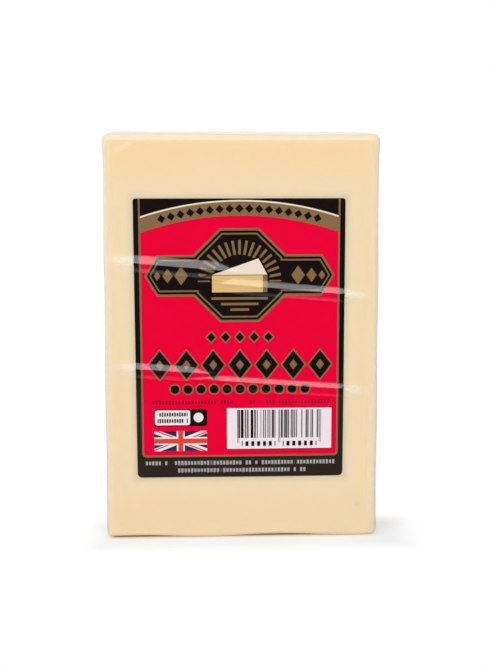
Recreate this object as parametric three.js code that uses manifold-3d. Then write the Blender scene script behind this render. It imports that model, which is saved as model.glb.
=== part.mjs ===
// A retail block of mature cheddar: a cut cuboid of cheese drawn tight in clear film, standing on a
// short end, with a printed label across its front that the film holds flat.
// Millimetres, +Z up. The origin is on the ground under the middle of the block, and the front faces -Y.

import * as THREE from "three";
import { mergeVertices } from "three/addons/utils/BufferGeometryUtils.js";
import Module from "manifold-3d";

// The block in its film
const BLOCK_WIDTH = 88.5;
const BLOCK_DEPTH = 32.5;
const BLOCK_HEIGHT = 132;
const EDGE_RADIUS = 2.4;
const EDGE_STEPS = 3; // bands of faces round half of an edge
const WIDTH_STEPS = 18; // even steps over the flat between two edges
const DEPTH_STEPS = 4;
const HEIGHT_STEPS = 15;

// How far the cut cheese is from a true cuboid
const FOOT_SPREAD = 0.92; // how much wider the foot is than the middle, and the top narrower
const FACE_HOLLOW = 0.35; // depth of the shallow dips in a face
const HOLLOW_PITCH = 72; // from one dip to the next
const TOP_FALL = 0.6; // the top cut runs down this much from left to right
const BASE_SLACK = 0.7; // how far the lower edges are eased off beyond their radius, at most
const SLACK_PITCH = 46; // from one eased stretch of a lower edge to the next

// Creases where the film was pulled in: ridges that slope across a face, with a steeper stretch in the
// middle. A height is taken half way down, a fall is even over the whole width from left to right, and a
// drop is what the steeper stretch adds.
const FRONT = -1;
const BACK = 1;
const CREASES = [
  { side: FRONT, height: 86.7, fall: 9.2, drop: 4.7, ridge: 0.7 },
  { side: FRONT, height: 53.9, fall: 2.6, drop: 5.4, ridge: 0.6 },
  { side: BACK, height: 86.7, fall: -6, drop: -2.5, ridge: 0.5 },
  { side: BACK, height: 53.9, fall: 7, drop: 1.5, ridge: 0.45 },
];
const DROP_X = -6; // the middle of the steeper stretch
const DROP_REACH = 16; // and how far it runs to each side
const CREASE_HALF_WIDTH = 1.3;
const CREASE_ROWS = [-2.1, -1.3, -0.65, 0, 0.65, 1.3, 2.1]; // grid rows over a ridge, in half widths
const CREASE_REACH = 14; // how far from a ridge the grid rows still run along it
const CREASE_FULL = 0.8; // a ridge is whole up to this share of the half width, and gone at the edge

// The label, placed on the front by its middle
const LABEL_WIDTH = 67;
const LABEL_HEIGHT = 90.8;
const LABEL_X = -0.64;
const LABEL_Z = 66.1;
const LABEL_TOP_CORNER = 0.8;
const LABEL_FOOT_CORNER = 1.5;
const LABEL_THICKNESS = 0.25;
const LABEL_GAP = 0.15; // clear of the block's own faces
const CORNER_SEGMENTS = 6;

const CHEDDAR_COLOUR = 0xf0d8b0;
const LABEL_COLOUR = 0xe90338;

const HALF = new THREE.Vector3(BLOCK_WIDTH, BLOCK_DEPTH, BLOCK_HEIGHT).divideScalar(2);
const INNER = HALF.clone().subScalar(EDGE_RADIUS); // the box that the edge radius is swept round
const MIDDLE_Z = BLOCK_HEIGHT / 2;

const wasm = await Module();
wasm.setup();

// A closed geometry as a solid that can be joined and cut.
function solidOf(geometry) {
  geometry.deleteAttribute("normal");
  geometry.deleteAttribute("uv");
  const merged = mergeVertices(geometry);
  return new wasm.Manifold(
    new wasm.Mesh({
      numProp: 3,
      vertProperties: merged.getAttribute("position").array,
      triVerts: new Uint32Array(merged.index.array),
    }),
  );
}

function geometryOf(solid) {
  const { vertProperties, triVerts } = solid.getMesh();
  const geometry = new THREE.BufferGeometry();
  geometry.setAttribute("position", new THREE.BufferAttribute(vertProperties, 3));
  geometry.setIndex(new THREE.BufferAttribute(triVerts, 1));
  geometry.computeVertexNormals();
  return geometry;
}

// A box cut into cells by the given lines on each axis, with every corner moved to where place puts it.
function gridBox(xLines, yLines, zLines, place) {
  const [nx, ny, nz] = [xLines, yLines, zLines].map((lines) => lines.length - 1);
  const box = new THREE.BoxGeometry(nx, ny, nz, nx, ny, nz);
  const corners = box.getAttribute("position");
  for (let i = 0; i < corners.count; i++) {
    const x = xLines[Math.round(corners.getX(i) + nx / 2)];
    const y = yLines[Math.round(corners.getY(i) + ny / 2)];
    const z = zLines[Math.round(corners.getZ(i) + nz / 2)];
    corners.setXYZ(i, ...place(x, y, z).toArray());
  }
  return box;
}

// Lines over the flat of one side of the block, evenly spaced about its middle.
function flatLines(inner, steps) {
  return Array.from({ length: steps + 1 }, (_, i) => inner * ((2 * i) / steps - 1));
}

// The same lines carried on round both edges at even angles.
function withEdges(lines, inner) {
  const edge = Array.from({ length: EDGE_STEPS }, (_, i) => {
    const angle = ((i + 1) / EDGE_STEPS) * (Math.PI / 4);
    return inner + EDGE_RADIUS * Math.tan(angle);
  });
  return [...edge.map((line) => -line).reverse(), ...lines, ...edge];
}

// The rows up the flat: close together over each crease, with the even rows that crowd them left out.
function flatRows() {
  const heights = [...new Set(CREASES.map(({ height }) => height))];
  const over = heights.flatMap((height) =>
    CREASE_ROWS.map((row) => height - MIDDLE_Z + row * CREASE_HALF_WIDTH),
  );
  const rest = flatLines(INNER.z, HEIGHT_STEPS).filter((z) =>
    over.every((row) => Math.abs(z - row) > CREASE_HALF_WIDTH),
  );
  return [...rest, ...over].sort((a, b) => a - b);
}

// How far a grid row is carried up or down so that it runs along the creases of its own side.
function rowShift(x, side, row) {
  const dropped = THREE.MathUtils.smoothstep(x, DROP_X - DROP_REACH, DROP_X + DROP_REACH) - 0.5;
  return CREASES.filter((crease) => crease.side === side).reduce((shift, { height, fall, drop }) => {
    const near = Math.exp(-(((row - height + MIDDLE_Z) / CREASE_REACH) ** 2));
    return shift - near * (fall * (x / BLOCK_WIDTH) + drop * dropped);
  }, 0);
}

// The height of the film's ridges over the front or the back.
function creaseRelief(x, side, row) {
  const along = 1 - THREE.MathUtils.smoothstep(Math.abs(x), CREASE_FULL * INNER.x, INNER.x);
  return CREASES.filter((crease) => crease.side === side).reduce((relief, { height, ridge }) => {
    const across = (row - height + MIDDLE_Z) / CREASE_HALF_WIDTH;
    return relief + ridge * along * Math.exp(-(across ** 2));
  }, 0);
}

// Shallow dips in the cut faces, the sloping top and the eased lower edges, with the base left flat.
function cheeseRelief(point, normal) {
  const turn = (2 * Math.PI) / HOLLOW_PITCH;
  const dip = 0.5 - 0.5 * Math.sin(turn * (point.x + 0.6 * point.z)) * Math.cos(turn * (point.z - point.y));
  const aboveBase = 1 + Math.min(0, normal.z);
  const fall = TOP_FALL * (0.5 + point.x / BLOCK_WIDTH) * Math.max(0, normal.z);
  const onLowerEdge = normal.z < 0 ? 2 * Math.abs(normal.z * normal.y) : 0;
  const slack = BASE_SLACK * (0.5 + 0.5 * Math.sin(((2 * Math.PI) / SLACK_PITCH) * point.x));
  return -FACE_HOLLOW * dip * aboveBase - fall - slack * onLowerEdge;
}

// A grid point on the block: rounded over the edges, moved along its normal by the relief there, and
// drawn out towards the foot.
function blockPoint(x, y, row) {
  const side = y < 0 ? FRONT : BACK;
  const share = Math.abs(y) / HALF.y; // the rows level out from a face to the middle of a side
  const grid = new THREE.Vector3(x, y, row + share * rowShift(x, side, row));
  const inside = grid.clone().clamp(INNER.clone().negate(), INNER);
  const normal = grid.sub(inside).normalize();
  const point = inside.addScaledVector(normal, EDGE_RADIUS);
  const ridge = creaseRelief(x, side, row) * Math.abs(normal.y);
  point.addScaledVector(normal, cheeseRelief(point, normal) + ridge);
  point.x *= 1 - (FOOT_SPREAD / BLOCK_WIDTH) * (point.z / HALF.z);
  point.z += MIDDLE_Z;
  return point;
}

function cheddarBlock() {
  const columns = withEdges(flatLines(INNER.x, WIDTH_STEPS), INNER.x);
  const ranks = withEdges(flatLines(INNER.y, DEPTH_STEPS), INNER.y);
  const rows = withEdges(flatRows(), INNER.z);
  return geometryOf(solidOf(gridBox(columns, ranks, rows, blockPoint)));
}

function labelOutline() {
  const [x, z] = [LABEL_WIDTH / 2, LABEL_HEIGHT / 2];
  const [top, foot] = [LABEL_TOP_CORNER, LABEL_FOOT_CORNER];
  const outline = new THREE.Shape();
  outline.absarc(x - top, z - top, top, 0, 0.5 * Math.PI);
  outline.absarc(top - x, z - top, top, 0.5 * Math.PI, Math.PI);
  outline.absarc(foot - x, foot - z, foot, Math.PI, 1.5 * Math.PI);
  outline.absarc(x - foot, foot - z, foot, 1.5 * Math.PI, 2 * Math.PI);
  return outline;
}

// The label's outline cut out of a thin sheet that follows the front of the block, creases and all.
function frontLabel() {
  const faces = [-LABEL_GAP - LABEL_THICKNESS, -LABEL_GAP];
  const sheet = gridBox(flatLines(INNER.x, WIDTH_STEPS), faces, flatRows(), (x, offset, row) => {
    const point = blockPoint(x, -HALF.y, row);
    point.y += offset;
    return point;
  });
  const cutter = new THREE.ExtrudeGeometry(labelOutline(), {
    depth: BLOCK_DEPTH,
    bevelEnabled: false,
    curveSegments: CORNER_SEGMENTS,
  });
  cutter.rotateX(Math.PI / 2);
  cutter.translate(LABEL_X, 0, LABEL_Z);
  return geometryOf(solidOf(sheet).intersect(solidOf(cutter)));
}

function node(name, geometry, color, roughness) {
  const material = new THREE.MeshStandardMaterial({ color, roughness, metalness: 0 });
  const mesh = new THREE.Mesh(geometry, material);
  mesh.name = name;
  return mesh;
}

const part = new THREE.Group();
part.add(node("cheddar_block", cheddarBlock(), CHEDDAR_COLOUR, 0.35));
part.add(node("front_label", frontLabel(), LABEL_COLOUR, 0.3));

export default part;
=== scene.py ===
# A retail block of mature cheddar, standing on a short end: the cut cheese, the printed label laid on
# its front, and the clear film drawn tight over both.
# Metres, +Z up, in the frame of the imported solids. The front faces -Y.

import math
from collections import namedtuple

import bpy
import numpy as np
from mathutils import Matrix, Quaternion, Vector


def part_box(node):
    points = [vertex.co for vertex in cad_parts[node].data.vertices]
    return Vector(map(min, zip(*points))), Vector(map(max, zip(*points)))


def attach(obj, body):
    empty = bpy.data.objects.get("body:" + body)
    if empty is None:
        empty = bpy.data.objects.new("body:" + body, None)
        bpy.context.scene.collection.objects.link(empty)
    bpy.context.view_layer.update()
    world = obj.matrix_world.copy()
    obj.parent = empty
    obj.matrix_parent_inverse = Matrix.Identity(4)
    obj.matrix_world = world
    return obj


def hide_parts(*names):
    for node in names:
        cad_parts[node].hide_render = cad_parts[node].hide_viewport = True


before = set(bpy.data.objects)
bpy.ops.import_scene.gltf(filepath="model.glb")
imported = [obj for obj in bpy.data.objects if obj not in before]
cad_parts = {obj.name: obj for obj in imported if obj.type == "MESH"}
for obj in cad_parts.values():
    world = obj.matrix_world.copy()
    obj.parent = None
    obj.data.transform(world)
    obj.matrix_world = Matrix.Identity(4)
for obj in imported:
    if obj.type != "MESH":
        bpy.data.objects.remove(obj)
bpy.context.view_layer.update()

# The cheese
# A block of mature cheddar, cut by wire from a larger one, so its faces are nearly flat and its edges
# soft. It has settled a little on the end it stands on, and the film holds it in shape.

MM = 0.001
BLOCK = np.array((88.5, 32.5, 132.0)) * MM  # over the film
EDGE_RADIUS = 2.4 * MM  # over the film
INNER = BLOCK / 2 - EDGE_RADIUS  # the box that the edge radius is swept round
MIDDLE = np.array((0, 0, BLOCK[2] / 2))
EDGE_SEGMENTS = 8
CHEESE_INSET = 0.2 * MM  # from the film in to the cheese
CHEESE_STEP = 3 * MM  # between the cuts that let its faces sag
CUT_SNAP = 0.001 * MM

FOOT_SPREAD = 0.92 * MM  # how much wider the foot is than the middle, and the top narrower
FACE_HOLLOW = 0.35 * MM  # depth of the shallow dips in a face
HOLLOW_PITCH = 72 * MM  # from one dip to the next
HOLLOW_LEAN = 0.6  # how far the dips run aside for each step up
TOP_FALL = 0.6 * MM  # the top cut runs down this much from left to right
FOOT_SQUARE = 0.42 * MM  # how far its weight has pressed the lower edges out square
BASE_SLACK = 0.8 * MM  # how far a lower edge is off the table, at most
SLACK_PITCH = 46 * MM  # from one such stretch of a lower edge to the next

CREAM = (0.885, 0.695, 0.43)
PALE_CREAM = (0.86, 0.715, 0.485)  # in clouds, and beside the label
PALE_REACH = 10 * MM
LIT_THROUGH_CREAM = (0.905, 0.69, 0.40)  # painted light: deeper along the upper edge, where light comes through from above
LIT_THROUGH_FROM = 117 * MM
LIT_THROUGH_TO = 127 * MM
PAINTED_SHADE_CREAM = (0.75, 0.63, 0.43)  # painted shade, close under the edge of the label
PAINTED_SHADE_REACH = 2.6 * MM
SPECK_CREAM = (0.74, 0.54, 0.30)
CLOUD_SCALE = 38.0  # how many to the metre, as for the next two
GRAIN_SCALE = 900.0
SPECK_SCALE = 75.0
CLOUD_LIMITS = (0.35, 0.65)
CLOUD_SHARE = 0.4
SPECK_LIMITS = (0.03, 0.09)
SPECKED_CLOUDS = (0.55, 0.7)  # the clouds that have specks in them
SPECK_SHARE = 0.35
GRAIN_DEPTH = 0.1 * MM
GRAIN_STRENGTH = 0.15
CURD_ROUGHNESS = 0.4
GRAIN_ROUGHNESS = 0.15
SCATTER = 1.0 * MM  # how deep light wanders in the cheese


def rounded_block(name, inset):
    """A cuboid with every edge rounded, this far inside the film's size, left open in edit mode."""
    bpy.ops.object.select_all(action="DESELECT")
    bpy.ops.mesh.primitive_cube_add(size=1, location=MIDDLE, scale=BLOCK - 2 * inset)
    piece = bpy.context.object
    piece.name = name
    bpy.ops.object.transform_apply(location=True, rotation=True, scale=True)
    bpy.ops.object.mode_set(mode="EDIT")
    bpy.ops.mesh.select_all(action="SELECT")
    bpy.ops.mesh.bevel(offset=EDGE_RADIUS - inset, segments=EDGE_SEGMENTS, affect="EDGES")
    return piece


def cut_through(direction, places):
    """Cuts the mesh that is open in edit mode right through, square to a direction, at these places."""
    for place in places:
        bpy.ops.mesh.select_all(action="SELECT")
        bpy.ops.mesh.bisect(plane_co=Vector(direction) * place, plane_no=direction, threshold=CUT_SNAP)


def even_places(low, high, step):
    """Places about a step apart between two ends, without the ends themselves."""
    return np.linspace(low, high, round((high - low) / step) + 1)[1:-1]


def spots_of(piece):
    """The places of a piece's corners, one to a row."""
    spots = np.empty(3 * len(piece.data.vertices))
    piece.data.vertices.foreach_get("co", spots)
    return spots.reshape(-1, 3)


def put_spots(piece, spots):
    piece.data.vertices.foreach_set("co", spots.ravel())
    piece.data.update()


def outwards(spots):
    """The direction straight out of the true cuboid at each point."""
    centred = spots - MIDDLE
    out = centred - np.clip(centred, -INNER, INNER)
    return out / np.linalg.norm(out, axis=1, keepdims=True)


def settled(spots):
    """Where points of the true cuboid come to lie on the cut and settled block."""
    centred = spots - MIDDLE
    out = outwards(spots)
    x, y, z = centred.T
    down = np.minimum(0, out[:, 2])
    turn = 2 * math.pi / HOLLOW_PITCH
    dip = 0.5 - 0.5 * np.sin(turn * (x + HOLLOW_LEAN * z)) * np.cos(turn * (z - y))
    fall = TOP_FALL * (0.5 + x / BLOCK[0]) * np.maximum(0, out[:, 2])
    slack = BASE_SLACK * (0.5 + 0.5 * np.sin(2 * math.pi / SLACK_PITCH * x))
    over_edge = 2 * np.abs(down * out[:, 1])
    inwards = FACE_HOLLOW * dip * (1 + down) + fall
    moved = centred - out * inwards[:, None]
    pressed = FOOT_SQUARE * over_edge
    moved[:, 1] += np.sign(out[:, 1]) * pressed
    moved[:, 2] = np.maximum(moved[:, 2] - pressed, z.min()) + slack * over_edge
    moved[:, 0] *= 1 - FOOT_SPREAD / BLOCK[0] * moved[:, 2] / MIDDLE[2]
    return moved + MIDDLE


# The creases of the film, over the front and the back, in millimetres. A crease runs down to the right by
# its slope, and is made of ridges: each lies a little above or below the crease, is whole from left to
# right, and tapers off beyond. Near the sides of the block they all sink away.
FRONT = -1
BACK = 1
Crease = namedtuple("Crease", "side height slope ridges")
Ridge = namedtuple("Ridge", "above left right flank rise")
UPPER_CREASE = 86.0
LOWER_CREASE = 53.2
CREASES = [
    Crease(FRONT, UPPER_CREASE, 0.095, [Ridge(2.0, -44, -8, 3.1, 1.0), Ridge(-2.3, -4, 44, 2.4, 0.78)]),
    Crease(FRONT, LOWER_CREASE, 0.075, [Ridge(1.1, -44, -16, 2.5, 0.82), Ridge(-1.1, -8, 44, 2.2, 0.72)]),
    Crease(BACK, UPPER_CREASE, -0.09, [Ridge(1.8, -30, 2, 2.0, 0.6), Ridge(-1.6, -6, 30, 1.8, 0.5)]),
    Crease(BACK, LOWER_CREASE, 0.08, [Ridge(0.2, -30, 33, 1.7, 0.48)]),
]
CREASE_REACH = 14  # how far from a crease the rows of the mesh still run along it
TAPER = 9
LEAST_SIZE = 0.02  # of a ridge that has tapered off
FACE_POWER = 4  # keeps the ridges to a face, off its rounded edges
SINK_FROM = 37  # from the middle of the block
SINK_TO = 44.3
STEEP_FLANK = 0.38  # a ridge's lower flank, as a share of its upper one
ECHO_BELOW = 3.0  # a fainter ridge follows below each one
ECHO_SHARE = 0.4
CREASE_ROWS_ABOVE = 5.8  # the stretch of close rows over each crease
CREASE_ROWS_BELOW = 6.4
CREASE_ROW_STEP = 0.3

# Where no label stiffens them the ridges are evened out, up and down, and the cheese is drawn up into them.
SOFT_REACH = 1.2 * MM
SOFT_FADE = 2 * MM  # over this much beside the label
SOFT_SAMPLES = 11
SWELL_REACH = 2.4 * MM  # how far they are evened out in the cheese
CHEESE_FOLLOWS = 0.8  # how much of a crease's height the cheese takes up
label_low, label_high = (np.array(corner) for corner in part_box("front_label"))
LABEL_SIZE = label_high - label_low
LABEL_MIDDLE = (label_low + label_high) / 2


def tent(across, flank, steep):
    """A ridge seen end on: 1 at its crest, with one flank above and a steeper one below."""
    return np.clip(1 - np.where(across > 0, across / flank, -across / steep), 0, None)


def creased(spots):
    """The same points run along the creases, and how far the ridges lift each one."""
    x, y, row = spots.T / MM
    sink = np.clip((SINK_TO - np.abs(x)) / (SINK_TO - SINK_FROM), 0, 1)
    shift = np.zeros(len(spots))
    lift = np.zeros(len(spots))
    for crease in CREASES:
        facing = np.where(y * crease.side > 0, np.abs(y * MM) / (BLOCK[1] / 2), 0)
        beside = row - crease.height
        shift -= facing * np.exp(-((beside / CREASE_REACH) ** 2)) * crease.slope * x
        for ridge in crease.ridges:
            ends = np.minimum(x - ridge.left, ridge.right - x)
            size = np.clip(1 + ends / TAPER, LEAST_SIZE, 1)
            across = (beside - ridge.above) / size
            steep = ridge.flank * STEEP_FLANK
            echo = ECHO_SHARE * tent((across + ECHO_BELOW) / ECHO_SHARE ** 0.5, ridge.flank, steep)
            form = np.maximum(tent(across, ridge.flank, steep), echo)
            lift += facing**FACE_POWER * sink * size * ridge.rise * form
    run = spots.copy()
    run[:, 2] += shift * MM
    return run, lift * MM


def soft_lift(spots, reach):
    """How far the ridges lift each point once they are evened out over a reach."""
    steps = np.linspace(-reach, reach, SOFT_SAMPLES)
    return np.mean([creased(spots + (0, 0, step))[1] for step in steps], axis=0)


def bare(spots):
    """1 where no label lies over the cheese, and 0 where one does."""
    beside = np.abs(spots[:, 0] - LABEL_MIDDLE[0]) - LABEL_SIZE[0] / 2
    return np.where(spots[:, 1] < 0, np.clip(beside / SOFT_FADE, 0, 1), 1)


def swell(spots):
    """How far the cheese has been drawn up into the creases at each point."""
    return CHEESE_FOLLOWS * bare(spots) * soft_lift(spots, SWELL_REACH)


def crease_rows():
    """Heights of the close rows over the creases, measured at the middle of the block."""
    return np.concatenate([
        np.arange(height - CREASE_ROWS_BELOW, height + CREASE_ROWS_ABOVE, CREASE_ROW_STEP) * MM
        for height in (LOWER_CREASE, UPPER_CREASE)
    ])


def rows_between(low, high, step):
    """Even rows with the close rows over the creases in place of those they cover."""
    close = crease_rows()
    even = even_places(low, high, step)
    clear = [row for row in even if np.abs(close - row).min() > step / 3]
    return sorted([*clear, *(row for row in close if low < row < high)])


class Shade:
    """One output of a material's nodes. Sums on it add the nodes that work them out."""

    def __init__(self, socket):
        self.socket = socket

    def node(self, kind, settings=(), sockets=(), output=0):
        """Adds any node to the same material: its settings first, then values or links for its sockets."""
        tree = self.socket.id_data
        made = tree.nodes.new(kind)
        for name, value in dict(settings).items():
            setattr(made, name, value)
        for name, value in dict(sockets).items():
            if isinstance(value, Shade):
                tree.links.new(value.socket, made.inputs[name])
            else:
                made.inputs[name].default_value = value
        return Shade(made.outputs[output])

    def sum(self, operation, *values, clamp=False):
        settings = {"operation": operation, "use_clamp": clamp}
        return self.node("ShaderNodeMath", settings, enumerate(values))

    def __add__(self, other):
        return self.sum("ADD", self, other)

    def __sub__(self, other):
        return self.sum("SUBTRACT", self, other)

    def __mul__(self, other):
        return self.sum("MULTIPLY", self, other)

    def __truediv__(self, other):
        return self.sum("DIVIDE", self, other)

    def __rsub__(self, other):
        return self.sum("SUBTRACT", other, self)

    def __neg__(self):
        return self.sum("MULTIPLY", self, -1)

    def __abs__(self):
        return self.sum("ABSOLUTE", self)

    __radd__ = __add__
    __rmul__ = __mul__

    def most(self, other):
        return self.sum("MAXIMUM", self, other)

    def least(self, other):
        return self.sum("MINIMUM", self, other)

    def root(self):
        return self.sum("SQRT", self)

    def whole(self):
        return self.sum("FLOOR", self)

    def sign(self):
        return self.sum("SIGN", self)

    def between(self, low, high):
        """Runs from 0 to 1, with soft ends, as this goes from low to high."""
        settings = {"interpolation_type": "SMOOTHSTEP"}
        return self.node("ShaderNodeMapRange", settings, {"Value": self, "From Min": low, "From Max": high})

    def blend(self, first, second):
        """A colour that goes from the first to the second as this goes from 0 to 1."""
        sockets = {0: self, 6: first, 7: second}
        return self.node("ShaderNodeMix", {"data_type": "RGBA"}, sockets, output=2)

    def part(self, index):
        """The X, Y or Z of a vector."""
        return self.node("ShaderNodeSeparateXYZ", (), {0: self}, output=index)


def finish(name, **sockets):
    """A new material with one Principled shader, whose plain values are set by name."""
    material = bpy.data.materials.new(name)
    material.use_nodes = True
    shader = material.node_tree.nodes["Principled BSDF"]
    for socket, value in sockets.items():
        shader.inputs[socket.replace("_", " ")].default_value = value
    place = material.node_tree.nodes.new("ShaderNodeTexCoord").outputs["Object"]
    return material, shader, Shade(place)


def feed(shader, **shades):
    for socket, shade in shades.items():
        shader.id_data.links.new(shade.socket, shader.inputs[socket.replace("_", " ")])


def opaque(colour):
    return (*colour, 1)


def box(across, up, half_width, half_height, corner=0):
    """The distance out from the edge of a rectangle round the middle of two measures."""
    right = abs(across) - (half_width - corner)
    top = abs(up) - (half_height - corner)
    if not corner:
        return right.most(top)
    round_off = (right.most(0) * right.most(0) + top.most(0) * top.most(0)).root()
    return round_off + right.most(top).least(0) - corner


cheese = rounded_block("cheese", CHEESE_INSET)
cut_through((1, 0, 0), even_places(-INNER[0], INNER[0], CHEESE_STEP))
cut_through((0, 1, 0), even_places(-INNER[1], INNER[1], CHEESE_STEP))
cut_through((0, 0, 1), rows_between(EDGE_RADIUS, BLOCK[2] - EDGE_RADIUS, CHEESE_STEP))
bpy.ops.object.mode_set(mode="OBJECT")
plain = spots_of(cheese)
run = settled(creased(plain)[0])
run[:, 1] += np.sign(run[:, 1]) * swell(plain)
put_spots(cheese, run)
bpy.ops.object.shade_smooth()

cheese_paint, cheese_shader, place = finish(
    "cheddar",
    Roughness=0.45,
    Specular_IOR_Level=0.1,
    Subsurface_Weight=0.35,
    Subsurface_Radius=(1.0, 0.6, 0.3),
    Subsurface_Scale=SCATTER,
)
clouds = place.node("ShaderNodeTexNoise", (), {"Vector": place, "Scale": CLOUD_SCALE, "Detail": 3.0})
grain = place.node("ShaderNodeTexNoise", (), {"Vector": place, "Scale": GRAIN_SCALE, "Detail": 2.0})
specks = place.node("ShaderNodeTexVoronoi", (), {"Vector": place, "Scale": SPECK_SCALE})
height = place.part(2)
beside = box(place.part(0) - LABEL_MIDDLE[0], height - LABEL_MIDDLE[2], *LABEL_SIZE[[0, 2]] / 2)
on_front = 1 - place.part(1).between(-INNER[1], INNER[1])
pale = (1 - beside.between(0, PALE_REACH)) * on_front
curd = pale.most(clouds.between(*CLOUD_LIMITS) * CLOUD_SHARE).blend(opaque(CREAM), opaque(PALE_CREAM))
# Painted light: the cream deepens towards the upper edge.
curd = height.between(LIT_THROUGH_FROM, LIT_THROUGH_TO).blend(curd, opaque(LIT_THROUGH_CREAM))
# Painted shade: darker cream close round the edge of the label.
curd = ((1 - beside.between(0, PAINTED_SHADE_REACH)) * on_front).blend(curd, opaque(PAINTED_SHADE_CREAM))
speckled = (1 - specks.between(*SPECK_LIMITS)) * clouds.between(*SPECKED_CLOUDS) * SPECK_SHARE
curd = speckled.blend(curd, opaque(SPECK_CREAM))
grain_bump = {"Strength": GRAIN_STRENGTH, "Distance": GRAIN_DEPTH, "Height": grain}
feed(
    cheese_shader,
    Base_Color=curd,
    Roughness=CURD_ROUGHNESS + grain * GRAIN_ROUGHNESS,
    Normal=grain.node("ShaderNodeBump", (), grain_bump),
)
cheese.data.materials.append(cheese_paint)
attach(cheese, "root")
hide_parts("cheddar_block")

# The label
# A sheet of gloss paper, printed red with a black and gold border, laid on the cheese before it was
# wrapped. It lies flat but for the creases, which it follows a little.

LABEL_GAP = 0.03 * MM  # clear of the cheese
LABEL_BACK = -BLOCK[1] / 2 + CHEESE_INSET - LABEL_GAP
LABEL_THICKNESS = 0.1 * MM
LABEL_TOP_CORNER = 0.8 * MM
LABEL_FOOT_CORNER = 1.5 * MM
CORNER_SEGMENTS = 6
LABEL_STEP = 2 * MM  # between the cuts across it
LABEL_FOLLOWS = 0.3  # how much of a crease's height it takes up
LABEL_SHARP = math.radians(40)  # its edges stay sharp from this angle


def pick(piece, wanted):
    """Selects the corners whose place passes a test, with the piece left open in edit mode."""
    bpy.ops.object.mode_set(mode="EDIT")
    bpy.ops.mesh.select_mode(type="VERT")
    bpy.ops.mesh.select_all(action="DESELECT")
    bpy.ops.object.mode_set(mode="OBJECT")
    for corner in piece.data.vertices:
        corner.select = wanted(corner.co)
    bpy.ops.object.mode_set(mode="EDIT")


def apply_modifier(piece, name, kind, **settings):
    modifier = piece.modifiers.new(name, kind)
    for setting, value in settings.items():
        setattr(modifier, setting, value)
    bpy.ops.object.modifier_apply(modifier=name)


bpy.ops.object.select_all(action="DESELECT")
bpy.ops.mesh.primitive_plane_add(
    size=1,
    location=(LABEL_MIDDLE[0], LABEL_BACK, LABEL_MIDDLE[2]),
    rotation=(math.pi / 2, 0, 0),
)
label = bpy.context.object
label.name = "label"
label.scale = (LABEL_SIZE[0], LABEL_SIZE[2], 1)
label.data.uv_layers[0].name = "OFBake"
bpy.ops.object.transform_apply(location=True, rotation=True, scale=True)
for at_top, radius in ((True, LABEL_TOP_CORNER), (False, LABEL_FOOT_CORNER)):
    pick(label, lambda spot: (spot.z > LABEL_MIDDLE[2]) == at_top)
    bpy.ops.mesh.bevel(offset=radius, segments=CORNER_SEGMENTS, affect="VERTICES")
cut_through((1, 0, 0), even_places(label_low[0], label_high[0], LABEL_STEP))
cut_through((0, 0, 1), rows_between(label_low[2], label_high[2], LABEL_STEP))
bpy.ops.object.mode_set(mode="OBJECT")
flat = spots_of(label)
run, lift = creased(flat)
run = settled(run)
run[:, 0] = flat[:, 0]
run[:, 1] -= LABEL_FOLLOWS * lift
put_spots(label, run)
apply_modifier(label, "thickness", "SOLIDIFY", thickness=LABEL_THICKNESS, offset=1)
bpy.ops.object.shade_smooth_by_angle(angle=LABEL_SHARP)

INK_BLACK = (0.0100, 0.0060, 0.0055)
INK_BLACK_PAINTED_REFLECTION = (0.028, 0.020, 0.016)
INK_RED = (0.810, 0.0003, 0.038)
INK_DEEP_RED = (0.36, 0.004, 0.020)
INK_GOLD = (0.240, 0.146, 0.062)
INK_CREAM = (0.84, 0.72, 0.58)
INK_STRAW = (0.74, 0.50, 0.20)
INK_WHITE = (0.83, 0.76, 0.78)
INK_GREY = (0.40, 0.385, 0.38)
INK_BLUE = (0.030, 0.022, 0.100)
INK_SCARLET = (0.78, 0.055, 0.030)
INK_EDGE = 0.06  # how soft the edge of the print is
FIBRE_SCALE = 1400.0
PAPER_ROUGHNESS = 0.26
FIBRE_ROUGHNESS = 0.12
HALF_WIDTH = LABEL_SIZE[0] / 2 / MM

# The print is drawn in millimetres from the middle of the label, u to the right and v up.
label_paint, label_shader, place = finish("printed paper", Roughness=0.32, Specular_IOR_Level=0.02)
u = (place.part(0) - LABEL_MIDDLE[0]) / MM
v = (place.part(2) - LABEL_MIDDLE[2]) / MM


def ink(under, shape, colour):
    """Prints a colour over what is there, inside a shape given as the distance out from its edge."""
    return u.sum("SUBTRACT", 0.5, shape / INK_EDGE, clamp=True).blend(under, opaque(colour))


def disc(across, up, radius):
    return (across * across + up * up).root() - radius


def lozenge(across, up, half_width, half_height):
    slope = half_height / half_width
    return (abs(up) + abs(across) * slope - half_height) * (1 / math.hypot(1, slope))


def every(across, pitch):
    """The same measure, started again at each of a row of places."""
    return across - (across / pitch + 0.5).whole() * pitch


def row_of(shape, across, half_length):
    """Keeps only the stretch of a repeated shape that lies within a length."""
    return shape.most(abs(across) - half_length)


PRINT_HALF = 0.75  # half the height of the tallest stroke in a line
LEAST_STROKE = 0.75  # the lowest stroke, as a share of that
STROKE_HALF = 0.33  # half the width of a stroke, as a share of its pitch
STROKES_KEPT = 0.86  # the share of the strokes that are printed, with gaps for the rest
LINE_APART = 100  # keeps the draws of one line clear of the next
PRINT_PITCH = 1.05
NOTE_PITCH = 0.8


def small_print(across, up, half_length, pitch, line):
    """A line of uneven strokes with gaps, as small print looks from a step away, each line its own."""
    place_in_line = {"W": (across / pitch + 0.5).whole() + LINE_APART * line}
    chance = u.node("ShaderNodeTexWhiteNoise", {"noise_dimensions": "1D"}, place_in_line)
    over = abs(up) - PRINT_HALF * (LEAST_STROKE + (1 - LEAST_STROKE) * chance)
    strokes = (abs(every(across, pitch)) - STROKE_HALF * pitch).most(over)
    return row_of(strokes.most((chance - STROKES_KEPT) * pitch), across, half_length)


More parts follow.
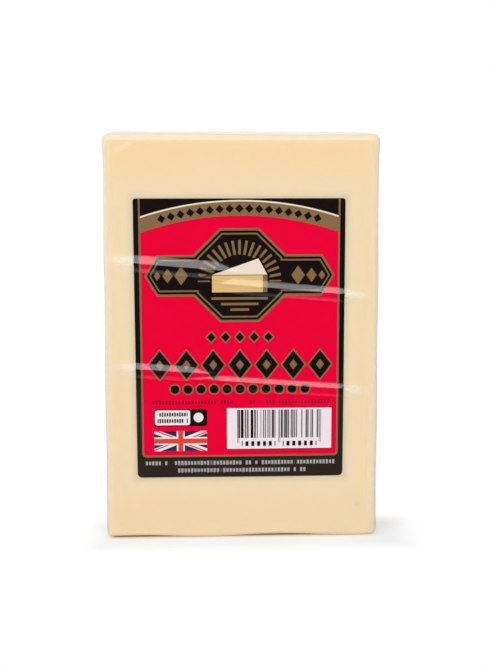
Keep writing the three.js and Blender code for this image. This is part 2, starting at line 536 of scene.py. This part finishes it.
# The border, with a gold line round a window that is open to the top of the label, and the arched band
# across it.
BORDER = 1.6
GOLD_LINE = 0.55
WINDOW_FOOT = -38.6
WINDOW_CORNER = 1.4
WINDOW_HALF = HALF_WIDTH + 20  # half its height, which carries it past the top of the label
BAND_TOP = 44.95
BAND_RADIUS = 100
BAND_LINE = 0.5
BAND_DEPTH = 4.9
FADE_FROM = -22  # the black of the border is a little greyer towards the foot, a painted reflection of the film over it
FADE_TO = -6
window_up = v - (WINDOW_FOOT + WINDOW_HALF)
window = box(u, window_up, HALF_WIDTH - BORDER, WINDOW_HALF, WINDOW_CORNER)
field = window + GOLD_LINE
arch = disc(u, v - (BAND_TOP - BAND_RADIUS), BAND_RADIUS)
ground = v.between(FADE_FROM, FADE_TO).blend(opaque(INK_BLACK_PAINTED_REFLECTION), opaque(INK_BLACK))
sheet = ink(ground, window, INK_GOLD)
sheet = ink(sheet, field, INK_BLACK)
sheet = ink(sheet, field.most(arch), INK_CREAM)
sheet = ink(sheet, field.most(arch + BAND_LINE), INK_GOLD)
sheet = ink(sheet, field.most(arch + BAND_DEPTH), INK_RED)

# A row of small lozenges that follows the band.
BAND_PITCH = 3.2
BAND_LOZENGE = 1.35
BAND_ROW_HALF = 27.2
along_band = BAND_RADIUS * u.sum("ARCTAN2", u, v - (BAND_TOP - BAND_RADIUS))
over_band = arch + 0.5 * (BAND_LINE + BAND_DEPTH)
band_row = lozenge(every(along_band, BAND_PITCH), over_band, BAND_LOZENGE, BAND_LOZENGE)
sheet = ink(sheet, row_of(band_row, along_band, BAND_ROW_HALF), INK_BLACK)

# The badge: a black plaque with pointed wings, edged twice in gold. On it rays rise behind a wedge of
# cheese, and a run of lozenges fills each wing.
BADGE_V = 21.0
BADGE_HALF = 15.0
WING_HALF = 6.6
WING_REACH = 30.2
WING_SLANT = 0.6
BADGE_EDGE = 0.7
BADGE_LINE = 1.7  # how far in the second gold edge runs
BADGE_LINE_HALF = 0.25
RAYS_DOWN = 2  # the rays meet this far below the middle of the badge
RAY_PITCH = math.radians(10)
RAY_HALF = 0.42
RAY_MIDDLE = 11.0
RAY_HALF_LENGTH = 2.3
WEDGE_TIP = (6.0, 5.4)
WEDGE_SIDE = 8.8
WEDGE_BACK = 0.2
WEDGE_FACE_HALF = 2.7
WEDGE_OUTLINE = 0.6
WEDGE_END = 1.4  # the width of its shaded end
BADGE_BARS = [(7.4, 9.0), (9.2, 6.0), (11.0, 3.0)]  # below the middle, and half the length
BADGE_BAR_HALF = 0.4
WING_LOZENGES = [(18.6, 3.0), (22.9, 2.3), (26.2, 1.5)]  # from the middle, and half the height
WING_LOZENGE_SLIM = 0.72
badge_up = v - BADGE_V
eight_sides = abs(u).most(abs(badge_up)).most((abs(u) + abs(badge_up)) * math.sqrt(0.5)) - BADGE_HALF
wings = (abs(badge_up) - WING_HALF).most(abs(u) + abs(badge_up) * WING_SLANT - WING_REACH)
plaque = eight_sides.least(wings)
sheet = ink(sheet, plaque, INK_GOLD)
sheet = ink(sheet, plaque + BADGE_EDGE, INK_BLACK)
sheet = ink(sheet, abs(plaque + BADGE_LINE) - BADGE_LINE_HALF, INK_GOLD)
ray_up = badge_up + RAYS_DOWN
from_middle = disc(u, ray_up, 0)
ray_turn = every(u.sum("ARCTAN2", ray_up, u), RAY_PITCH)
rays = (abs(ray_turn) * from_middle - RAY_HALF).most(abs(from_middle - RAY_MIDDLE) - RAY_HALF_LENGTH)
sheet = ink(sheet, rays.most(-ray_up), INK_GOLD)


def slanted(start, end):
    """The distance out over a slanted edge, with what lies inside on the right going from start to end."""
    run, rise = end[0] - start[0], end[1] - start[1]
    return ((badge_up - start[1]) * run - (u - start[0]) * rise) * (1 / math.hypot(run, rise))


wedge_left = slanted((-WEDGE_SIDE, WEDGE_BACK), WEDGE_TIP)
wedge_right = slanted(WEDGE_TIP, (WEDGE_SIDE, WEDGE_BACK))
wedge_top = wedge_left.most(wedge_right).most(WEDGE_BACK - badge_up)
wedge_face = box(u, badge_up + WEDGE_FACE_HALF, WEDGE_SIDE, WEDGE_FACE_HALF)
sheet = ink(sheet, wedge_top.least(wedge_face) - WEDGE_OUTLINE, INK_BLACK)
sheet = ink(sheet, wedge_top, INK_CREAM)
sheet = ink(sheet, wedge_face, INK_STRAW)
sheet = ink(sheet, wedge_face.most(WEDGE_SIDE - WEDGE_END - u), INK_GOLD)
for below, half_length in BADGE_BARS:
    sheet = ink(sheet, box(u, badge_up + below, half_length, BADGE_BAR_HALF), INK_GOLD)
for wing_u, size in WING_LOZENGES:
    sheet = ink(sheet, lozenge(abs(u) - wing_u, badge_up, WING_LOZENGE_SLIM * size, size), INK_GOLD)

# Three rows of ornament under the badge: lozenges small and large, then a row of beads, all black with a
# gold edge, and two lines of small print below them.
LARGE_PITCH = 8.6
LARGE_ROW_HALF = 30.1
ROW_EDGE = 0.4
large_u, large_v = every(u, LARGE_PITCH), v + 8.0
ROWS = [
    (lozenge(every(u, 4.6), v - 1.1, 1.9, 2.1), 11.5),
    (lozenge(large_u, large_v, 4.1, 5.3), LARGE_ROW_HALF),
    (disc(every(u, 4.2), v + 16.0, 1.8), 23.1),
]
for shape, half_length in ROWS:
    sheet = ink(sheet, row_of(shape, u, half_length), INK_GOLD)
    sheet = ink(sheet, row_of(shape + ROW_EDGE, u, half_length), INK_BLACK)
sheet = ink(sheet, row_of(lozenge(large_u, large_v, 1.3, 1.7), u, LARGE_ROW_HALF), INK_GOLD)
for line, print_u, half_length in ((1, -15.4, 13.2), (2, 16.0, 13.4)):
    strokes = small_print(u - print_u, v + 20.3, half_length, PRINT_PITCH, line)
    sheet = ink(sheet, strokes, INK_DEEP_RED)

# The small panels at the foot: a note with a plain disc, a national flag, and a bar code without numbers.
NOTE_HALF = (8.6, 2.85)
NOTE_CORNER = 1.0
NOTE_WHITE = 2.6  # its white part lies this far to the left
NOTE_WHITE_HALF = (5.7, 2.5)
NOTE_WHITE_CORNER = 0.8
NOTE_LINE_HALF = 4.9
NOTE_DISC = 5.8  # and the disc this far to the right
NOTE_DISC_RADIUS = 1.6
note_u, note_v = u + 19.3, v + 25.35
sheet = ink(sheet, box(note_u, note_v, *NOTE_HALF, NOTE_CORNER), INK_BLACK)
sheet = ink(sheet, box(note_u + NOTE_WHITE, note_v, *NOTE_WHITE_HALF, NOTE_WHITE_CORNER), INK_WHITE)
for line, line_v in ((3, 1.05), (4, -1.05)):
    strokes = small_print(note_u + NOTE_WHITE, note_v - line_v, NOTE_LINE_HALF, NOTE_PITCH, line)
    sheet = ink(sheet, strokes, INK_BLACK)
sheet = ink(sheet, disc(note_u - NOTE_DISC, note_v, NOTE_DISC_RADIUS), INK_WHITE)

FLAG_HALF = (8.55, 3.35)
FLAG_CROSS = 0.8  # half the width of the upright cross, and of its white edge
FLAG_CROSS_EDGE = 1.3
FLAG_SALTIRE = 0.75
FLAG_STRIPE = 0.22  # half the width of the stripe in it, and how far it lies off the middle
FLAG_STRIPE_OFF = 0.28
flag_u, flag_v = u + 19.35, v + 33.15
flag = box(flag_u, flag_v, *FLAG_HALF)
diagonal = abs(flag_u) * FLAG_HALF[1] - abs(flag_v) * FLAG_HALF[0]
diagonal = diagonal * (1 / math.hypot(*FLAG_HALF))
turned = diagonal * (flag_u * flag_v).sign()
sheet = ink(sheet, flag, INK_BLUE)
sheet = ink(sheet, flag.most(abs(diagonal) - FLAG_SALTIRE), INK_WHITE)
sheet = ink(sheet, flag.most(abs(turned - FLAG_STRIPE_OFF) - FLAG_STRIPE), INK_SCARLET)
cross = abs(flag_u).least(abs(flag_v))
sheet = ink(sheet, flag.most(cross - FLAG_CROSS_EDGE), INK_WHITE)
sheet = ink(sheet, flag.most(cross - FLAG_CROSS), INK_SCARLET)

CODE_HALF = (17.0, 6.8)
CODE_EDGE = 0.3
BAR = 0.29
BARS_UP = 1.5  # the middle of the bars, over the middle of the panel
BARS_HALF = (47 * BAR, 4.7)
BARS_WHITE = 0.52  # the share of the bars that are left white
BAR_EDGE = 0.2
GUARDS_UP = 0.7  # the paired bars at the ends and in the middle reach lower
GUARDS_HALF = 5.5
MARK_GROUP = 6.7  # the middle of each group of marks under the bars, and half its length
MARK_GROUP_HALF = 5.5
MARK_PITCH = 1.9
MARKS_DOWN = 5.1
MARK_HALF = (0.5, 0.8)
code_u, code_v = u - 12.7, v + 29.2
panel = box(code_u, code_v, *CODE_HALF)
sheet = ink(sheet, panel - CODE_EDGE, INK_DEEP_RED)
sheet = ink(sheet, panel, INK_WHITE)
stroke = u.node("ShaderNodeTexWhiteNoise", {"noise_dimensions": "1D"}, {"W": (code_u / BAR).whole()})
bars = box(code_u, code_v - BARS_UP, *BARS_HALF)
sheet = ink(sheet, bars.most((BARS_WHITE - stroke) * BAR_EDGE), INK_BLACK)
guards = (abs(abs(code_u) - (BARS_HALF[0] - BAR)) - BAR).least(abs(code_u) - BAR)
guards = guards.most(abs(code_v - GUARDS_UP) - GUARDS_HALF)
sheet = ink(sheet, guards.most(0.5 * BAR - abs(every(code_u, 2 * BAR))), INK_BLACK)
in_group = abs(code_u) - MARK_GROUP
marks = box(every(in_group, MARK_PITCH), code_v + MARKS_DOWN, *MARK_HALF)
sheet = ink(sheet, row_of(marks, in_group, MARK_GROUP_HALF), INK_BLACK)

# Two lines of small print across the black foot.
for line, line_v, half_length in ((6, -40.6, 30.8), (7, -43.1, 21.6)):
    sheet = ink(sheet, small_print(u, v - line_v, half_length, PRINT_PITCH, line), INK_GREY)

fibre = place.node("ShaderNodeTexNoise", (), {"Vector": place, "Scale": FIBRE_SCALE, "Detail": 2.0})
feed(label_shader, Base_Color=sheet, Roughness=PAPER_ROUGHNESS + fibre * FIBRE_ROUGHNESS)
label.data.materials.append(label_paint)
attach(label, "root")
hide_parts("front_label")

# The film
# One skin of thin clear film, shrunk tight round the cheese and the label and sealed. It stands off in
# creases where it was pulled in: over the label these throw back more light, and over the cheese they are
# milky, as the film also is along its edges, where it is gathered thick.

FILM_STEP = 2 * MM  # between the cuts across it
FILM_DEPTH_STEP = 4 * MM
FILM_ROW_STEP = 3 * MM
FILM_ROWS_TO = 124 * MM
FOLD_ROWS = np.arange(124.5, 129.2, 0.5) * MM  # close cuts for the small fold at the upper left corner
FOLD_COLUMNS = np.arange(-41.2, -33, 0.8) * MM
FOLD_FROM = np.array((-39.6, 126.2)) * MM
FOLD_TO = np.array((-34.8, 128.2)) * MM
FOLD_HALF_WIDTH = 1.2 * MM
FOLD_RISE = 0.34 * MM
EDGE_REACH = 4.2 * MM  # how far from an edge the film is still gathered thick
TOP = 1
FOOT = -1
FOOT_SHARE = 0.4  # it is gathered less round the foot
HEAD_ON = 0.04  # the share of light that the film throws back when it is seen head on
AT_A_GLANCE = 0.75  # and when it is seen along its face
GLANCE_POWER = 5  # how late the one goes over into the other
LOOSE_GAIN = 0.8  # how much more it throws back where it stands off the label
EDGE_HAZE = 0.3  # how much it whitens what lies under it where it is gathered thick
LOOSE_HAZE = 0.40  # and where it has come off the cheese
LOOSE_DULL = 0.7  # how much less it throws back there
LIFTED = (0.02, 0.3)  # millimetres off the label, from where this starts to where it is whole
SLACK = (0.05, 0.6)  # and the same off the cheese
LABEL_RIM = 0.4 * MM  # the stretch beside the label over which one gives way to the other


def corner_fold(spots):
    """How far the small fold at the upper left corner of the front lifts each point."""
    along = FOLD_TO - FOLD_FROM
    from_end = spots[:, (0, 2)] - FOLD_FROM
    share = np.clip(from_end @ along / (along @ along), 0, 1)
    aside = np.linalg.norm(from_end - share[:, None] * along, axis=1)
    return np.where(spots[:, 1] < 0, FOLD_RISE * np.clip(1 - aside / FOLD_HALF_WIDTH, 0, None), 0)


def from_edge(spots, end):
    """How far each point of the true cuboid lies from the nearest upright edge, or edge of one end."""
    to_faces = BLOCK / 2 - np.abs(spots - MIDDLE)
    to_faces[:, 2] = BLOCK[2] / 2 - end * (spots - MIDDLE)[:, 2]
    return np.sort(to_faces, axis=1)[:, 1]


film = rounded_block("film", 0)
cut_through((1, 0, 0), [*FOLD_COLUMNS, *even_places(FOLD_COLUMNS[-1], INNER[0], FILM_STEP)])
cut_through((0, 1, 0), even_places(-INNER[1], INNER[1], FILM_DEPTH_STEP))
cut_through((0, 0, 1), [*rows_between(EDGE_RADIUS, FILM_ROWS_TO, FILM_ROW_STEP), *FOLD_ROWS])
bpy.ops.object.mode_set(mode="OBJECT")
plain = spots_of(film)
run, lift = creased(plain)
lift += bare(plain) * (soft_lift(plain, SOFT_REACH) - lift) + corner_fold(run)
near_edge = 1 - from_edge(run, TOP) / EDGE_REACH
near_foot = 1 - from_edge(run, FOOT) / EDGE_REACH
gathered = np.maximum(near_edge, FOOT_SHARE * near_foot).clip(0)
run = settled(run)
run[:, 1] += np.sign(run[:, 1]) * np.maximum(lift, swell(plain))
put_spots(film, run)
for name, values in (("stands_off", lift / MM), ("gathered", gathered)):
    film.data.attributes.new(name, "FLOAT", "POINT").data.foreach_set("value", values)
apply_modifier(film, "drawn smooth", "SUBSURF", levels=1, render_levels=1)
bpy.ops.object.shade_smooth()

film_paint, film_shader, place = finish(
    "clear film",
    Base_Color=(1, 1, 1, 1),
    Roughness=0.12,
    Specular_IOR_Level=0.0,
)
aside = place.node("ShaderNodeLayerWeight", (), {"Blend": 0.5}, output=1)
loose = place.node("ShaderNodeAttribute", {"attribute_name": "stands_off"}, output=2)
thick = place.node("ShaderNodeAttribute", {"attribute_name": "gathered"}, output=2)
mirror = HEAD_ON + (AT_A_GLANCE - HEAD_ON) * aside.sum("POWER", aside, GLANCE_POWER)
on_label = box(place.part(0) - LABEL_MIDDLE[0], place.part(2) - LABEL_MIDDLE[2], *LABEL_SIZE[[0, 2]] / 2)
on_cheese = on_label.between(0, LABEL_RIM).most(place.part(1).between(-MM, MM))
slack = on_cheese * loose.between(*SLACK)
lifted = (1 - on_cheese) * loose.between(*LIFTED)
mirror = mirror * (1 + lifted * LOOSE_GAIN - slack * LOOSE_DULL)
cover = mirror + thick * EDGE_HAZE + slack * LOOSE_HAZE
feed(film_shader, Alpha=cover, Metallic=mirror / cover)
film.data.materials.append(film_paint)
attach(film, "root")
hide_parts("cheddar_block")

# The studio
# A white table under a wide softbox over the camera and another overhead, with white all round behind.
# The table also glows by itself, as painted light: most behind the block and far from it, and least close
# round the foot, which leaves a painted shadow there. Close round the foot it is painted a warm brown
# shade.

FLOOR_SIZE = 6.0
FLOOR_Z = -0.05 * MM
FLOOR_WHITE = (0.475, 0.492, 0.512, 1)
FLOOR_PAINTED_WARM_SHADE = (0.5, 0.35, 0.19, 1)  # painted warm shade close round the foot, standing in for light that has been through the cheese
GLOW_WHITE = (1, 1, 1, 1)
# the glow close round the foot is painted warm in the same way
GLOW_PAINTED_WARM = (1, 0.86, 0.70, 1)
UNDER_FOOT = -2.8 * MM  # out from the edge of the foot, where the table is dark with painted shade
CLEAR_OF_FOOT = -1.0 * MM  # where it is clear of the foot
PAINTED_WARMTH_ENDS = 1.6 * MM  # and where the painted warm shade ends
SHADE_ASIDE = 2.5 * MM  # the painted shade round the foot lies this far to the right and to the front
SHADE_AHEAD = 3 * MM
SHADE_REACH = 14 * MM
BEHIND_BLOCK = (-5 * MM, 8 * MM)
FAR_OFF = (0.2, 1.0)
CLEAR_GLOW = 0.43
LIT_GLOW = 0.15
BACK_GLOW = 0.1
FAR_GLOW = 0.3
bpy.ops.object.select_all(action="DESELECT")
bpy.ops.mesh.primitive_plane_add(size=FLOOR_SIZE, location=(0, 0, FLOOR_Z))
floor = bpy.context.object
floor.name = "table"
floor_paint, floor_shader, place = finish("white table", Roughness=0.9, Emission_Strength=1.0)
floor_x, floor_y = place.part(0), place.part(1)
foot = box(floor_x, floor_y, BLOCK[0] / 2, BLOCK[1] / 2, EDGE_RADIUS)
shade = box(floor_x - SHADE_ASIDE, floor_y + SHADE_AHEAD, BLOCK[0] / 2, BLOCK[1] / 2)
clear = foot.between(UNDER_FOOT, CLEAR_OF_FOOT)
away = foot.between(UNDER_FOOT, PAINTED_WARMTH_ENDS)
back = floor_y.between(*BEHIND_BLOCK)
lit = shade.between(0, SHADE_REACH).most(back)
far = disc(floor_x, floor_y, 0).between(*FAR_OFF)
# Painted light: the glow leaves painted shade round the foot and lights up the table behind the block.
glow = clear * CLEAR_GLOW + lit * LIT_GLOW + back * BACK_GLOW + far * FAR_GLOW
feed(
    floor_shader,
    Base_Color=away.blend(FLOOR_PAINTED_WARM_SHADE, FLOOR_WHITE),
    Emission_Color=glow.blend((0, 0, 0, 1), away.blend(GLOW_PAINTED_WARM, GLOW_WHITE)),
)
floor.data.materials.append(floor_paint)
floor.visible_glossy = False


def softbox(name, azimuth, elevation, distance, size, radiance):
    """A rectangular light that faces the middle of the block, seen from it in this direction."""
    light = bpy.data.lights.new(name, "AREA")
    light.shape = "RECTANGLE"
    light.size, light.size_y = size
    light.energy = radiance * math.pi * size[0] * size[1]
    stand = bpy.data.objects.new(name, light)
    bpy.context.collection.objects.link(stand)
    towards = Vector((
        math.sin(azimuth) * math.cos(elevation),
        -math.cos(azimuth) * math.cos(elevation),
        math.sin(elevation),
    ))
    stand.location = Vector(MIDDLE) + towards * distance
    stand.rotation_euler = towards.to_track_quat("Z", "Y").to_euler()


softbox("front softbox", math.radians(-12), math.radians(38), distance=7.0, size=(10.8, 4.1), radiance=2.18)
softbox("top softbox", math.radians(-60), math.radians(80), distance=2.0, size=(1.6, 1.6), radiance=1.2)

# The room is white to the camera and fills in evenly. In the film it shows white behind the block and to
# the left, dimmer to the right and above, and dark on the camera's side.
ROOM_FILL = 0.39
RIGHT_DIMMED = 0.55
ABOVE_SHARE = 0.7
world = bpy.data.worlds.new("studio")
world.use_nodes = True
bpy.context.scene.world = world
backdrop = world.node_tree.nodes["Background"]
outlook = Shade(world.node_tree.nodes.new("ShaderNodeTexCoord").outputs["Generated"])
behind = outlook.part(1).between(-0.8, 0.1)
above = outlook.part(2).between(0.0, 0.4)
left = 1 - RIGHT_DIMMED * outlook.part(0).between(0.1, 0.8)
seen = outlook.node("ShaderNodeLightPath", output=0)
mirrored = outlook.node("ShaderNodeLightPath", output=3)
level = outlook.part(2).between(-0.4, -0.05)
room = mirrored * (level * behind * left).most(above * ABOVE_SHARE) + (1 - mirrored) * ROOM_FILL
world.node_tree.links.new(seen.most(room).socket, backdrop.inputs["Strength"])
backdrop.inputs["Color"].default_value = (1, 1, 1, 1)

# The camera looks a little down on the front, from slightly left of its middle.
PITCH = math.radians(10.5)
YAW = math.radians(2.0)
ROLL = math.radians(-0.15)
DISTANCE = 402.5 * MM
AIM = Vector((1.0 * MM, -BLOCK[1] / 2, 68.2 * MM))
LENS = 67.7  # in millimetres, as the next
SENSOR = 36
NEAREST = 10 * MM
camera = bpy.data.objects.new("camera", bpy.data.cameras.new("camera"))
bpy.context.collection.objects.link(camera)
camera.data.lens = LENS
camera.data.sensor_width = SENSOR
back_off = Vector((-math.sin(YAW) * math.cos(PITCH), -math.cos(YAW) * math.cos(PITCH), math.sin(PITCH)))
camera.location = AIM + back_off * DISTANCE
camera.rotation_mode = "QUATERNION"
camera.rotation_quaternion = back_off.to_track_quat("Z", "Y") @ Quaternion((0, 0, 1), ROLL)
camera.data.clip_start = NEAREST
scene = bpy.context.scene
scene.camera = camera
scene.view_settings.view_transform = "Standard"
